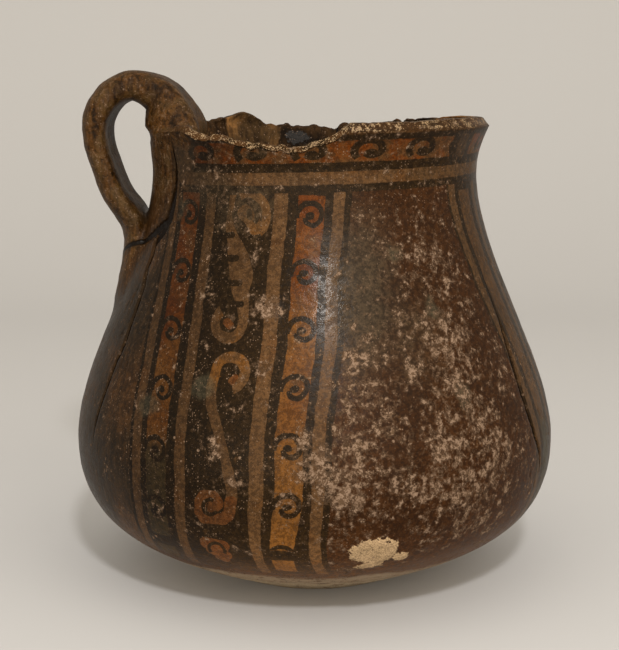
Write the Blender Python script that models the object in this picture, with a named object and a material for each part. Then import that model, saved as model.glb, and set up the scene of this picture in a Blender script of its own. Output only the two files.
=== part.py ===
"""An ancient painted pottery jug: a wide-bellied vessel with a broken rim and one strap handle.

Run it with blender --background --python part.py, or from Blender's text editor.
The origin is the centre of the flat underside, +Z is up, and the handle stands towards -X.
The vessel and its handle are one piece of fired clay, so they make one solid.
"""
import math

import bmesh
import bpy
import numpy as np

# Driving dimensions of the vessel, in metres

UNDERSIDE_RADIUS = 0.028    # flat underside that the jug stands on
UNDERSIDE_SLOPE = 22.3      # degrees at which the low underside leaves the flat
BELLY_RADIUS = 0.075        # widest place
BELLY_HEIGHT = 0.044
NECK_RADIUS = 0.0503        # narrowest place, under the rim
NECK_HEIGHT = 0.1265
RIM_RISE = 0.0163           # from the neck up to the top of the whole rim
LIP_RADIUS = 0.0539         # outer corner of the flared lip
LIP_BEVEL = 0.0021          # how far the slanted top of the lip runs in from its corner
LIP_BEVEL_RISE = 0.0027     # how far it rises from its corner
LIP_WALL = 0.0042           # wall at the lip
WALL = 0.0047               # wall elsewhere
FLOOR = 0.0062              # thickness of the bottom
EDGE_WEAR = 0.0005          # rounding of the rim's inner edge

# Heights that follow from the neck's

CREST_HEIGHT = NECK_HEIGHT + RIM_RISE
LIP_HEIGHT = CREST_HEIGHT - LIP_BEVEL_RISE

# Driving dimensions of the strap handle, in metres

FINGER_GAP = 0.0132         # clear width between the neck and the strap
STRAP_THICKNESS = 0.0082
STRAP_WIDTH = 0.028
CROWN_RISE = 0.0142         # how far the top of the strap rises over the crest of the rim
CROWN_THICKNESS = 0.0098
UPPER_ROOT_WIDTH = 0.045    # spread of the strap where it sits over the rim
UPPER_ROOT_REACH = 0.0115   # how far it stands into the mouth from the wall
UPPER_ROOT_DROP = 0.019     # how far it runs down inside, from the crest
LOWER_ROOT_WIDTH = 0.036    # spread of the strap on the shoulder
LOWER_ROOT_PROUD = 0.0036   # how far it stands off the shoulder
LOWER_ROOT_DROP = 0.052     # how far down it ends, from the neck
ROOT_TIP = 0.0022           # thickness of both ends, which lie inside the wall

# The rim is broken: azimuth in degrees from the front (-Y) towards +X, and height lost in metres

RIM_LOSS = (
    (-140, 0.0021), (-120, 0.0030), (-90, 0.0050), (-66, 0.0034), (-52, 0.0026), (-46, 0.0016),
    (-40, 0.0043), (-31, 0.0047), (-25, 0.0056), (-12, 0.0071), (-4, 0.0073), (2, 0.0054),
    (8, 0.0026), (11, 0.0008), (34, 0.0006), (50, 0.0), (110, 0.0002), (134, 0.0013),
    (152, 0.0033), (167, 0.0036), (172, 0.0057), (181, 0.0052), (185, 0.0037), (193, 0.0032),
    (202, 0.0019), (204, -0.0004), (209, -0.0006), (213, 0.0002), (215, 0.0013),
)

# Fineness of the mesh

SEGMENTS = 80               # columns round the vessel
UNDER_ROWS = 8              # rings from the underside to the belly
SHOULDER_ROWS = 9           # rings from the belly to the neck
STRAP_STEPS = 46            # sections along the strap
STRAP_SIDES = 18            # points round each section

CLAY_COLOUR = (0.145, 0.085, 0.050, 1.0)
CLAY_ROUGHNESS = 0.55


def bezier(start, lead, follow, end, steps):
    """Points of a cubic curve, without its last one."""
    t = np.linspace(0.0, 1.0, steps, endpoint=False)[:, None]
    start, lead, follow, end = (np.array(p) for p in (start, lead, follow, end))
    return ((1 - t) ** 3 * start + 3 * (1 - t) ** 2 * t * lead
            + 3 * (1 - t) * t ** 2 * follow + t ** 3 * end)


def body_curve(under_rows, shoulder_rows):
    """Outer (radius, height) points from the edge of the underside up to the neck."""
    slope = math.radians(UNDERSIDE_SLOPE)
    spread = 0.68 * (BELLY_RADIUS - UNDERSIDE_RADIUS)
    shoulder = NECK_HEIGHT - BELLY_HEIGHT
    edge = (UNDERSIDE_RADIUS, 0.0)
    belly = (BELLY_RADIUS, BELLY_HEIGHT)
    neck = (NECK_RADIUS, NECK_HEIGHT)
    leaving_edge = (UNDERSIDE_RADIUS + spread * math.cos(slope), spread * math.sin(slope))
    under_belly = (BELLY_RADIUS, 0.406 * BELLY_HEIGHT)
    over_belly = (BELLY_RADIUS, BELLY_HEIGHT + 0.275 * shoulder)
    under_neck = (NECK_RADIUS, NECK_HEIGHT - 0.298 * shoulder)
    low = bezier(edge, leaving_edge, under_belly, belly, under_rows)
    high = bezier(belly, over_belly, under_neck, neck, shoulder_rows)
    return np.vstack([low, high, [neck]])


def rim_curve():
    """Outer (radius, height) points from the neck up to the crest of the whole rim."""
    flare = LIP_HEIGHT - NECK_HEIGHT
    spread = LIP_RADIUS - NECK_RADIUS
    neck = (NECK_RADIUS, NECK_HEIGHT)
    lip = (LIP_RADIUS, LIP_HEIGHT)
    crest = (LIP_RADIUS - LIP_BEVEL, CREST_HEIGHT)
    over_neck = (NECK_RADIUS, NECK_HEIGHT + 0.45 * flare)
    under_lip = (LIP_RADIUS - 0.4 * spread, LIP_HEIGHT - 0.25 * flare)
    return np.vstack([bezier(neck, over_neck, under_lip, lip, 30), [lip, crest]])


def inset(curve, depth):
    """The curve moved in by a depth, square to itself."""
    along = np.gradient(curve, axis=0)
    along /= np.linalg.norm(along, axis=1)[:, None]
    return curve + depth * np.stack([-along[:, 1], along[:, 0]], axis=1)


def outer_radius(height):
    curve = np.vstack([body_curve(60, 60), rim_curve()[1:]])
    return float(np.interp(height, curve[:, 1], curve[:, 0]))


def rim_top(azimuth):
    """Height of the broken rim at an azimuth in degrees."""
    places = [place for place, loss in RIM_LOSS]
    losses = [loss for place, loss in RIM_LOSS]
    return CREST_HEIGHT - float(np.interp(azimuth, places, losses, period=360))


def wall_outline(azimuth):
    """Outline of the wall at one azimuth: up its outside, over the broken edge and down its inside."""
    body = body_curve(UNDER_ROWS, SHOULDER_ROWS)
    rim = rim_curve()
    rise = rim_top(azimuth) - NECK_HEIGHT
    lip_share = (LIP_HEIGHT - NECK_HEIGHT) / (CREST_HEIGHT - NECK_HEIGHT)
    outside = []
    inside = []
    for share in (0.3, 0.6, lip_share, 1.0):
        height = NECK_HEIGHT + share * rise
        radius = float(np.interp(height, rim[:, 1], rim[:, 0]))
        wear = EDGE_WEAR if share == 1.0 else 0.0
        outside.append((radius, height))
        inside.append((radius - LIP_WALL + wear, height - wear))
    lining = inset(body, WALL)
    lining = lining[lining[:, 1] > FLOOR + 0.2 * WALL]
    floor_edge = (0.86 * lining[0][0], FLOOR)
    return np.vstack([body, outside, inside[::-1], lining[::-1], [floor_edge]])


def vessel_mesh():
    """Closed mesh of the hollow vessel."""
    mesh = bmesh.new()
    columns = []
    for step in range(SEGMENTS):
        azimuth = 360.0 * step / SEGMENTS
        turn = math.radians(azimuth)
        columns.append([mesh.verts.new((radius * math.sin(turn), -radius * math.cos(turn), height))
                        for radius, height in wall_outline(azimuth)])
    for here, there in zip(columns, columns[1:] + columns[:1]):
        for low in range(len(here) - 1):
            mesh.faces.new((here[low], there[low], there[low + 1], here[low + 1]))
    mesh.faces.new([points[0] for points in reversed(columns)])
    mesh.faces.new([points[-1] for points in columns])
    return finished(mesh, "vessel")


def strap_stations():
    """Sections along the strap: radius and height of its middle, thickness, half width, corner.

    A corner of 1 is an oval section, and a lower one is flatter with rounder edges.
    """
    foot = NECK_HEIGHT - LOWER_ROOT_DROP
    heel = NECK_HEIGHT - 0.57 * LOWER_ROOT_DROP
    waist = NECK_HEIGHT - 0.33 * LOWER_ROOT_DROP
    rise = waist + 1.4 * STRAP_THICKNESS
    half = 0.5 * STRAP_WIDTH
    bow_radius = NECK_RADIUS + FINGER_GAP + 0.5 * STRAP_THICKNESS
    crown = CREST_HEIGHT + CROWN_RISE - 0.5 * CROWN_THICKNESS
    seat_thickness = LIP_WALL + UPPER_ROOT_REACH
    seat_radius = LIP_RADIUS - 0.5 * seat_thickness - 0.36 * LIP_WALL
    tail = CREST_HEIGHT - UPPER_ROOT_DROP
    low_half = 0.5 * LOWER_ROOT_WIDTH
    top_half = 0.5 * UPPER_ROOT_WIDTH
    return [
        (outer_radius(foot) - 0.45 * WALL, foot, ROOT_TIP, 0.7 * low_half, 1.0),
        (outer_radius(heel) - 0.1 * LOWER_ROOT_PROUD, heel, 1.9 * LOWER_ROOT_PROUD, low_half, 1.0),
        (outer_radius(waist) + LOWER_ROOT_PROUD - 0.13 * STRAP_THICKNESS, waist,
         1.1 * STRAP_THICKNESS, half + 0.2 * STRAP_THICKNESS, 0.8),
        (0.55 * outer_radius(waist) + 0.45 * bow_radius + 0.36 * STRAP_THICKNESS, rise,
         0.96 * STRAP_THICKNESS, half, 0.6),
        (bow_radius, 0.3 * rise + 0.7 * crown - 0.6 * STRAP_THICKNESS, STRAP_THICKNESS, half, 0.55),
        (bow_radius - 0.44 * STRAP_THICKNESS, crown - 0.49 * STRAP_THICKNESS,
         1.1 * STRAP_THICKNESS, half, 0.55),
        (LIP_RADIUS + 0.25 * STRAP_THICKNESS, crown, CROWN_THICKNESS, half, 0.55),
        (seat_radius + 0.35 * STRAP_THICKNESS, crown - 0.38 * CROWN_THICKNESS,
         0.48 * (CROWN_THICKNESS + seat_thickness), 0.74 * top_half, 0.55),
        (seat_radius, crown - 1.38 * CROWN_THICKNESS, seat_thickness, top_half, 0.55),
        (seat_radius + 0.11 * STRAP_THICKNESS, tail + 0.45 * seat_thickness,
         0.6 * seat_thickness, 0.84 * top_half, 0.6),
        (outer_radius(tail) - 0.5 * WALL, tail, ROOT_TIP, 0.6 * top_half, 0.6),
    ]


def smooth_path(stations, steps):
    """The stations joined by a smooth curve, read off at even steps along it."""
    points = np.array(stations)
    padded = np.vstack([2 * points[0] - points[1], points, 2 * points[-1] - points[-2]])
    dense = []
    for before, here, there, after in zip(padded, padded[1:], padded[2:], padded[3:]):
        for t in np.linspace(0.0, 1.0, 24, endpoint=False):
            dense.append(0.5 * (2 * here + (there - before) * t
                                + (2 * before - 5 * here + 4 * there - after) * t ** 2
                                + (3 * here - before - 3 * there + after) * t ** 3))
    dense = np.array(dense + [points[-1]])
    run = np.concatenate([[0.0], np.cumsum(np.linalg.norm(np.diff(dense[:, :2], axis=0), axis=1))])
    marks = np.linspace(0.0, run[-1], steps)
    return np.stack([np.interp(marks, run, values) for values in dense.T], axis=1)


def rounded(share, power):
    return math.copysign(abs(share) ** power, share)


def strap_mesh():
    """Closed mesh of the strap. Its flat section is bent round the vessel's axis."""
    path = smooth_path(strap_stations(), STRAP_STEPS)
    along = np.gradient(path[:, :2], axis=0)
    along /= np.linalg.norm(along, axis=1)[:, None]
    mesh = bmesh.new()
    sections = []
    for (radius, height, thickness, half, corner), (run_out, run_up) in zip(path, along):
        section = []
        for side in range(STRAP_SIDES):
            turn = 2 * math.pi * side / STRAP_SIDES
            across = half * rounded(math.cos(turn), corner)
            deep = 0.5 * thickness * rounded(math.sin(turn), min(1.0, corner + 0.25))
            place = radius - deep * run_up
            bend = across / place
            section.append(mesh.verts.new((-place * math.cos(bend), place * math.sin(bend),
                                           height + deep * run_out)))
        sections.append(section)
    for here, there in zip(sections, sections[1:]):
        for side in range(STRAP_SIDES):
            after = (side + 1) % STRAP_SIDES
            mesh.faces.new((here[side], here[after], there[after], there[side]))
    mesh.faces.new(list(reversed(sections[0])))
    mesh.faces.new(sections[-1])
    return finished(mesh, "strap")


def finished(mesh, name):
    """Blender mesh with its faces turned outwards."""
    bmesh.ops.recalc_face_normals(mesh, faces=mesh.faces)
    data = bpy.data.meshes.new(name)
    mesh.to_mesh(data)
    mesh.free()
    return data


def painted_clay():
    clay = bpy.data.materials.new("painted_clay")
    clay.use_nodes = True
    shader = clay.node_tree.nodes["Principled BSDF"]
    shader.inputs["Base Color"].default_value = CLAY_COLOUR
    shader.inputs["Roughness"].default_value = CLAY_ROUGHNESS
    shader.inputs["Metallic"].default_value = 0.0
    return clay


def build():
    for thing in list(bpy.data.objects):
        bpy.data.objects.remove(thing, do_unlink=True)
    jug = bpy.data.objects.new("jug", vessel_mesh())
    jug.data.materials.append(painted_clay())
    jug.data.shade_smooth()
    jug.data.set_sharp_from_angle(angle=math.radians(40))
    strap = bpy.data.objects.new("strap_guide", strap_mesh())
    strap.data.shade_smooth()
    strap.hide_render = True
    strap.display_type = "WIRE"
    for thing in (jug, strap):
        bpy.context.scene.collection.objects.link(thing)
    union = jug.modifiers.new("strap_joined", "BOOLEAN")
    union.operation = "UNION"
    union.solver = "EXACT"
    union.object = strap


build()
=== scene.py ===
"""Looks of the painted pottery jug: worn surface, painted bands, crust, cracks and the broken rim.

Shapes are in millimetres until the mesh is made. +Z is up, the front is -Y, and the handle stands
towards -X. Azimuth is in degrees from the front towards +X.
"""

from functools import reduce
import math

import bpy
import numpy as np
from mathutils.kdtree import KDTree
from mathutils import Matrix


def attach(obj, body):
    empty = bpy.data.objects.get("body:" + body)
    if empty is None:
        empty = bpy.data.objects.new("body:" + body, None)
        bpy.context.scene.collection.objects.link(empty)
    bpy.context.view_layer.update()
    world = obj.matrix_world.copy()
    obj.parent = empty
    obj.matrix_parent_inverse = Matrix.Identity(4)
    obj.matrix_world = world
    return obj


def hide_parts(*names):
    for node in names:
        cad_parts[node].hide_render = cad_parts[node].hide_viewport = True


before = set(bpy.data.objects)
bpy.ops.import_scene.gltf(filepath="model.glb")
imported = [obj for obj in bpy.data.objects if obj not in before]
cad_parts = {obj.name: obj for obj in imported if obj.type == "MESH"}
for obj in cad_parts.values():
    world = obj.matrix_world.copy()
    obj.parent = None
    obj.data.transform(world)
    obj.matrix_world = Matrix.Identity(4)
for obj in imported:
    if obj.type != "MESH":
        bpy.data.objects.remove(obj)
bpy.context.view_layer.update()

MM_PER_METRE = 1000.0
METRES_PER_MM = 0.001

# The vessel and the strap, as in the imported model

UNDERSIDE_RADIUS = 28.0
UNDERSIDE_SLOPE = 22.3
BELLY_RADIUS = 75.0
BELLY_HEIGHT = 44.0
NECK_RADIUS = 50.3
NECK_HEIGHT = 126.5
RIM_RISE = 16.3
LIP_RADIUS = 53.9
LIP_BEVEL = 2.1
LIP_BEVEL_RISE = 2.7
LIP_WALL = 4.2
WALL = 4.7
FLOOR = 6.2
CREST_HEIGHT = NECK_HEIGHT + RIM_RISE
LIP_HEIGHT = CREST_HEIGHT - LIP_BEVEL_RISE

FINGER_GAP = 13.2
STRAP_THICKNESS = 8.2
STRAP_WIDTH = 28.0
CROWN_RISE = 14.2
CROWN_THICKNESS = 9.8
UPPER_ROOT_WIDTH = 45.0
UPPER_ROOT_REACH = 11.5
UPPER_ROOT_DROP = 19.0
LOWER_ROOT_WIDTH = 36.0
LOWER_ROOT_PROUD = 3.6
LOWER_ROOT_DROP = 52.0
ROOT_TIP = 2.2
STRAP_AZIMUTH = -90.0
STRAP_STEPS = 118
STRAP_SIDES = 44
JOIN_REACH_METRES = 0.0052
JOIN_ROUNDS = 26

# Height lost from the rim's crest as (azimuth, loss)

RIM_LOSS = (
    (-140, 2.1), (-120, 3), (-90, 5), (-66, 3.4), (-52, 2.6), (-46, 1.6), (-40, 4.3), (-31, 4.7),
    (-25, 5.6), (-12, 7.1), (-4, 7.3), (2, 5.4), (8, 2.6), (11, 0.8), (34, 0.6), (50, 0), (110, 0.2),
    (134, 1.3), (152, 3.3), (167, 3.6), (172, 5), (181, 4.6), (187, 3.6), (194, 3.3), (199, 2.6),
    (203, 1.3), (206, 0.1), (209, -0.6), (212, -0.2), (215, 0.9), (219, 1.7),
)

# Cracks as (azimuth, height, half width)

CRACKS = (
    ((-53.2, 140, 0.38), (-54.3, 132.5, 0.45), (-54, 129.3, 0.52), (-54.3, 125.2, 0.75),
     (-54.7, 120.6, 1.2), (-55.3, 117, 1.8), (-55.9, 113.8, 2.1), (-58, 110, 1.72), (-61, 106.2, 0.9),
     (-60.5, 102.8, 0.72), (-61.1, 99.2, 0.63), (-59.3, 93.6, 0.63), (-59, 88.2, 0.54), (-58.4, 76.8, 0.51),
     (-59.5, 72.3, 0.51), (-60.3, 62.3, 0.42), (-61.5, 54.4, 0.36), (-61.8, 48, 0.15)),
    ((-56.5, 112.5, 1.59), (-60.3, 111.2, 1.45), (-66.5, 107.9, 1.16), (-75, 104.7, 0.8), (-82, 102, 0.52),
     (-90, 98.5, 0.22)),
    ((59, 100, 0.06), (59.5, 92, 0.2), (60.2, 84, 0.3), (59.7, 76, 0.9), (59.5, 70, 1.1), (59.2, 64, 0.8),
     (59.6, 57, 0.5), (61, 50, 0.5), (63.2, 44, 0.4), (63.5, 38, 0.1)),
    ((171, 141, 0.3), (170, 130, 0.3), (172.5, 118, 0.25), (169, 103, 0.25), (171, 90, 0.2),
     (167, 78, 0.14), (168, 70, 0.06)),
    ((-112, 84, 0.06), (-116, 78, 0.2), (-114, 68, 0.22), (-118, 56, 0.18), (-117, 46, 0.06)),
)

# Growths on the surface as (azimuth, height, reach across, reach along, amount)

CRUST = (
    (30, 100, 9, 13, 0.34), (33, 72, 14, 16, 0.36), (30, 46, 15, 12, 0.46), (34, 30, 14, 7, 0.4),
    (10, 44, 6, 9, 0.4), (1, 50, 4.4, 4.6, 1.4), (6, 43, 4, 3.4, 1.25), (-3, 57, 2.4, 2.4, 1),
    (-13, 91, 3, 2.6, 1.3), (18, 68, 13, 17, 0.36), (40, 62, 9, 20, 0.34), (22, 34, 12, 7, 0.36),
    (33, 114, 2.6, 2.8, 0.8), (35, 106, 3.4, 3.2, 0.7), (24, 105, 3.6, 3.6, 0.4), (42, 98, 2.1, 2.8, 0.7),
    (34, 95, 3.4, 2.4, 0.6), (35, 87, 3.2, 3.2, 0.7), (22, 84, 6.2, 8.4, 0.45), (39, 80, 3.8, 3.8, 0.8),
    (38, 68, 5, 4.3, 0.75), (43, 62, 3.4, 3.4, 0.6), (47, 52, 3.1, 3.6, 0.7), (30, 52, 5.2, 4.4, 0.85),
    (41, 45, 5, 4.3, 0.7), (20, 62, 3.4, 3.4, 0.5), (19, 46, 4.5, 4.1, 0.5), (33, 38, 4.8, 3.4, 0.7),
    (29, 30, 3.1, 3, 0.65), (40, 24, 4.4, 2.8, 0.5), (26, 25, 2.8, 2.2, 0.7), (4, 60, 1.3, 1.5, 0.7),
    (5, 56, 2.1, 1.7, 0.85), (10, 55, 2.1, 2.5, 0.85), (1, 54, 2.1, 1.5, 0.8), (-2, 47, 1.5, 2.6, 0.7),
    (4, 47, 3.8, 3.5, 1), (8, 41, 3.2, 2.8, 0.95), (18, 46, 4.7, 2.9, 0.7), (13, 38, 2.5, 1.5, 0.75),
    (15, 53, 2.2, 1.8, 0.6), (-13, 91, 3.4, 2.9, 0.95), (-31, 93, 2.1, 3.7, 0.7), (-22, 54, 2.4, 2.3, 0.8),
    (-19, 46, 2.6, 2.4, 0.8), (-16, 46, 2, 2.5, 0.7), (-17, 65, 1.6, 2.1, 0.5), (-38, 37, 2.6, 4.3, 0.5),
    (-19, 104, 2.2, 3.2, 0.45), (-22, 88, 2.4, 2.6, 0.45), (-24, 117, 3.7, 3.3, 0.55),
    (-34, 123, 6.7, 2.2, 0.6), (-7, 135, 3.9, 1.6, 0.4), (-38, 129, 4.4, 2.9, 0.4),
    (-15, 74, 2.8, 2.6, 0.4), (-7, 42, 2.2, 2.8, 0.5), (-16, 27, 2.6, 2.7, 0.5), (78, 100, 4, 7, 0.5),
    (96, 52, 6, 8, 0.6), (128, 88, 9, 12, 0.6), (136, 48, 8, 9, 0.75), (118, 30, 6, 4, 0.6),
    (160, 70, 4, 6, 0.45), (196, 56, 5, 7, 0.5), (-128, 62, 7, 9, 0.4), (-96, 40, 8, 6, 0.35),
)
PLASTER = (
    (13.5, 25, 6, 4.4, 1), (13, 20, 4.6, 2, 0.75), (20, 22.5, 3, 2.4, 0.75), (186.5, 134.5, 4.6, 3.2, 0.62),
    (131, 36, 6, 4.5, 0.9), (-104, 24, 5, 3, 0.7),
)
MOSS = (
    (-27, 70, 3.2, 3.2, 0.8), (-42, 63, 3.6, 2.8, 0.8), (-48, 118, 3, 4, 0.5), (-44, 100, 1.6, 6, 0.4),
    (148, 66, 6, 5, 0.6), (24, 106, 4.5, 4.5, 0.35), (33, 90, 3, 4, 0.55), (37, 66, 3, 5, 0.55),
)
WORN = (
    (11, 96, 11, 20, 0.75), (24, 84, 13, 15, 0.48), (-38, 124, 9, 6, 0.9), (-52, 132, 9, 8, 0.9),
    (-24, 118, 10, 7, 0.8), (-20, 133, 12, 5, 0.45), (-8, 126, 9, 3, 0.5), (60, 134, 6, 5, 0.5),
    (168, 130, 12, 8, 0.7), (200, 110, 8, 10, 0.5), (96, 126, 14, 4, 0.5),
)


def smooth(value, low, high):
    """0 below low, 1 above high, and a soft step between them."""
    share = np.clip((np.asarray(value, float) - low) / (high - low), 0, 1)
    return share * share * (3.0 - 2.0 * share)


def turned_from(centre, azimuth):
    """Degrees from a centre to an azimuth, from -180 to 180."""
    return (azimuth - centre + 180.0) % 360.0 - 180.0


def off_strap(azimuth):
    """Degrees away from the strap's middle, to either side."""
    return np.abs(turned_from(STRAP_AZIMUTH, azimuth))


def azimuth_of(points):
    return np.degrees(np.arctan2(points[:, 0], -points[:, 1]))


def hashed(cells, seed):
    """A repeatable number from -1 to 1 for each cell of a lattice."""
    mixed = (cells[..., 0] * 73856093) ^ (cells[..., 1] * 19349663) ^ (cells[..., 2] * 83492791)
    mixed = (mixed ^ (seed * 26544357)) & 0x7FFFFFFF
    mixed = ((mixed ^ (mixed >> 13)) * 1274126177) & 0x7FFFFFFF
    mixed = ((mixed ^ (mixed >> 16)) * 69069 + 12345) & 0x7FFFFFFF
    return ((mixed >> 8) & 65535) / 32767.5 - 1.0


def lumps(points, size, seed):
    """Soft noise from -1 to 1 whose lumps are about a size across."""
    scaled = np.asarray(points, float) / size
    cell = np.floor(scaled).astype(np.int64)
    part = scaled - cell
    part = part * part * (3.0 - 2.0 * part)
    total = np.zeros(scaled.shape[:-1])
    for corner in np.ndindex(2, 2, 2):
        share = np.ones(scaled.shape[:-1])
        for axis, end in enumerate(corner):
            share = share * (part[..., axis] if end else 1.0 - part[..., axis])
        total += share * hashed(cell + np.array(corner), seed)
    return total


def rough(points, size, seed):
    return (lumps(points, size, seed) + 0.5 * lumps(points, 0.5 * size, seed + 1)
            + 0.25 * lumps(points, 0.25 * size, seed + 2)) / 1.4


def bezier(start, lead, follow, end, steps):
    """Points of a cubic curve, without its last one."""
    t = np.linspace(0, 1, steps, endpoint=False)[:, None]
    start, lead, follow, end = (np.array(p, float) for p in (start, lead, follow, end))
    return ((1 - t) ** 3 * start + 3 * (1 - t) ** 2 * t * lead
            + 3 * (1 - t) * t ** 2 * follow + t ** 3 * end)


def body_curve(steps):
    """Outer (radius, height) points from the edge of the underside up to the neck."""
    slope = math.radians(UNDERSIDE_SLOPE)
    spread = 0.68 * (BELLY_RADIUS - UNDERSIDE_RADIUS)
    shoulder = NECK_HEIGHT - BELLY_HEIGHT
    low = bezier((UNDERSIDE_RADIUS, 0),
                 (UNDERSIDE_RADIUS + spread * math.cos(slope), spread * math.sin(slope)),
                 (BELLY_RADIUS, 0.406 * BELLY_HEIGHT), (BELLY_RADIUS, BELLY_HEIGHT), steps)
    high = bezier((BELLY_RADIUS, BELLY_HEIGHT), (BELLY_RADIUS, BELLY_HEIGHT + 0.275 * shoulder),
                  (NECK_RADIUS, NECK_HEIGHT - 0.298 * shoulder), (NECK_RADIUS, NECK_HEIGHT), steps)
    return np.vstack([low, high, [(NECK_RADIUS, NECK_HEIGHT)]])


def rim_curve():
    """Outer (radius, height) points from the neck up to the crest of the whole rim."""
    flare = LIP_HEIGHT - NECK_HEIGHT
    spread = LIP_RADIUS - NECK_RADIUS
    return np.vstack([bezier((NECK_RADIUS, NECK_HEIGHT), (NECK_RADIUS, NECK_HEIGHT + 0.45 * flare),
                             (LIP_RADIUS - 0.4 * spread, LIP_HEIGHT - 0.25 * flare),
                             (LIP_RADIUS, LIP_HEIGHT), 40),
                      [(LIP_RADIUS, LIP_HEIGHT), (LIP_RADIUS - LIP_BEVEL, CREST_HEIGHT)]])


def lengths_along(curve):
    return np.concatenate([[0], np.cumsum(np.linalg.norm(np.diff(curve, axis=0), axis=1))])


def evenly(curve, count):
    run = lengths_along(curve)
    marks = np.linspace(0, run[-1], count)
    return np.stack([np.interp(marks, run, column) for column in curve.T], axis=1)


def inset(curve, depth):
    along = np.gradient(curve, axis=0)
    along /= np.linalg.norm(along, axis=1)[:, None]
    return curve + depth * np.stack([-along[:, 1], along[:, 0]], axis=1)


BODY = body_curve(240)
RIM = rim_curve()
OUTSIDE = np.vstack([BODY, RIM[1:]])
LINING = inset(BODY, WALL)
LINING = LINING[LINING[:, 1] > FLOOR + 0.2 * WALL]
BODY_RUN = lengths_along(BODY)[-1] - lengths_along(BODY)


def outer_radius(height):
    return np.interp(height, OUTSIDE[:, 1], OUTSIDE[:, 0])


def inner_radius(height):
    low = np.interp(height, LINING[:, 1], LINING[:, 0])
    return np.where(np.asarray(height) > NECK_HEIGHT, outer_radius(height) - LIP_WALL, low)


def degree_at(height):
    """Length of one degree around the outside."""
    return np.radians(1) * outer_radius(height)


def run_at(height):
    """Length along the outside from the neck down to a height, negative above the neck."""
    height = np.asarray(height, float)
    return np.where(height > NECK_HEIGHT, NECK_HEIGHT - height, np.interp(height, BODY[:, 1], BODY_RUN))


def on_circle(azimuth, radius, height=0):
    turn = np.radians(azimuth)
    return np.stack(np.broadcast_arrays(radius * np.sin(turn), -radius * np.cos(turn), height), axis=-1)


def by_root(azimuth):
    """1 where the rim runs into the strap's upper root, 0 on the free rim."""
    return 1.0 - smooth(off_strap(azimuth), 34, 38)


def rim_edge(azimuth):
    """Heights of the rim's top and of its outer edge, and how broken it is, at some azimuths."""
    loss = np.interp(azimuth, *zip(*RIM_LOSS), period=360)
    ring = on_circle(azimuth, 52)
    broken = smooth(loss, 0.9, 1.9) * (1.0 - by_root(azimuth))
    jagged = 0.5 * lumps(ring, 1.9, 5) + 0.45 * lumps(ring, 5.5, 6)
    jagged = jagged * (1.0 + 0.7 * smooth(ring[..., 1], 0, 30))
    nicks = -0.35 * smooth(lumps(ring, 2.6, 7), 0.35, 0.9)
    top = CREST_HEIGHT - loss + broken * jagged + nicks
    drop = 0.12 + broken * (1.35 + 0.6 * lumps(ring, 3.1, 8)) + 0.35 * smooth(lumps(ring, 3.4, 9), 0.3, 0.9)
    drop += 0.9 * by_root(azimuth)
    return top, top - drop, broken


def crack_lines(azimuth, height):
    """Signed distance to the nearest crack, and the crack's half width there."""
    best = np.full(azimuth.shape, 99.0)
    side = np.full(azimuth.shape, 99.0)
    gap = np.zeros(azimuth.shape)
    degree = degree_at(height)
    along = run_at(height)
    for crack in CRACKS:
        for (az_a, z_a, gap_a), (az_b, z_b, gap_b) in zip(crack, crack[1:]):
            ax = turned_from(az_a, azimuth) * degree
            ay = along - run_at(z_a)
            bx = (az_b - az_a) * degree_at(0.5 * (z_a + z_b))
            by = float(run_at(z_b) - run_at(z_a))
            share = np.clip((ax * bx + ay * by) / (bx * bx + by * by), 0, 1)
            away = np.hypot(ax - share * bx, ay - share * by)
            near = away < best
            best = np.where(near, away, best)
            side = np.where(near, np.sign(ax * by - ay * bx) * away, side)
            gap = np.where(near, gap_a + share * (gap_b - gap_a), gap)
    return side, gap * (1.0 - smooth(best, 2.5, 6))


def growth(places, azimuth, height):
    """Amount of a growth, from its list of places."""
    total = np.zeros(azimuth.shape)
    degree = degree_at(height)
    along = run_at(height)
    for az, z, across, length, amount in places:
        x = turned_from(az, azimuth) * degree / across
        y = (along - run_at(z)) / length
        total = np.maximum(total, amount * np.exp(-0.5 * (x * x + y * y)))
    return total


def column_azimuths():
    """Azimuths of the vessel's columns, closer together at the cracks."""
    spans = ((-180, -66, 1), (-66, -50, 0.4), (-50, 57, 0.8), (57, 67, 0.4), (67, 180, 1))
    return np.concatenate([np.linspace(start, end, round((end - start) / apart), endpoint=False)
                           for start, end, apart in spans])


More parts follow.
